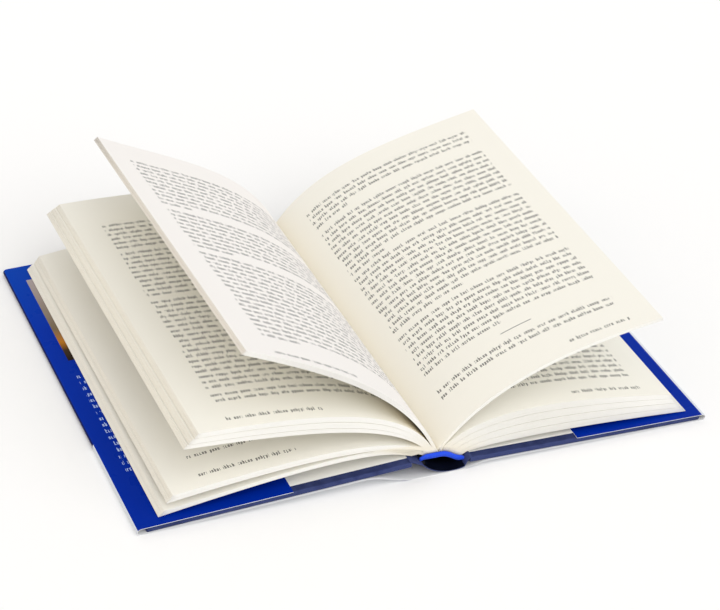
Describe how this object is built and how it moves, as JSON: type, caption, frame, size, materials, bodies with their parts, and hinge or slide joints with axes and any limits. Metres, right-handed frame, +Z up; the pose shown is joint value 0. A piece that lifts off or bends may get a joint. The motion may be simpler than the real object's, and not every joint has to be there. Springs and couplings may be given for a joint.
{
  "type": "hardcover book",
  "caption": "Hardcover book lying open in its dust jacket, its leaves fanned in packs and both covers hinged at the joints of the spine.",
  "frame": {"origin": "on the table under the gutter, midway between the jacket's two folds and between tail and head", "axes": "+X from the front cover to the back cover, +Y from tail to head, +Z up from the table"},
  "size_m": [0.34, 0.2388, 0.102],
  "materials": {
    "page_paper": "uncoated cream book paper",
    "endpaper": "uncoated endpaper",
    "binding_board": "grey board",
    "cover_cloth": "navy book cloth",
    "headband_thread": "blue woven band",
    "mull_lining": "mull and paper",
    "jacket_paper": "gloss laminated blue, white reverse"
  },
  "bodies": {
    "text_block": {"text_block": "page_paper", "spine_lining": "mull_lining", "head_headband": "headband_thread", "tail_headband": "headband_thread", "spine_strip": "binding_board", "spine_cloth": "cover_cloth", "jacket_spine": "jacket_paper"},
    "front_cover": {"front_board": "binding_board", "front_cloth": "cover_cloth", "front_pastedown": "endpaper", "jacket_front": "jacket_paper"},
    "back_cover": {"back_board": "binding_board", "back_cloth": "cover_cloth", "back_pastedown": "endpaper", "jacket_back": "jacket_paper"}
  },
  "joints": [
    {"name": "front_cover_hinge", "type": "hinge", "parent": "text_block", "child": "front_cover", "pos_m": [-0.0166, 0, 0.00819], "axis": [0, -1, 0], "range_deg": [0, 90]},
    {"name": "back_cover_hinge", "type": "hinge", "parent": "text_block", "child": "back_cover", "pos_m": [0.01848, 0, 0.00346], "axis": [0, 1, 0], "range_deg": [0, 90]}
  ]
}
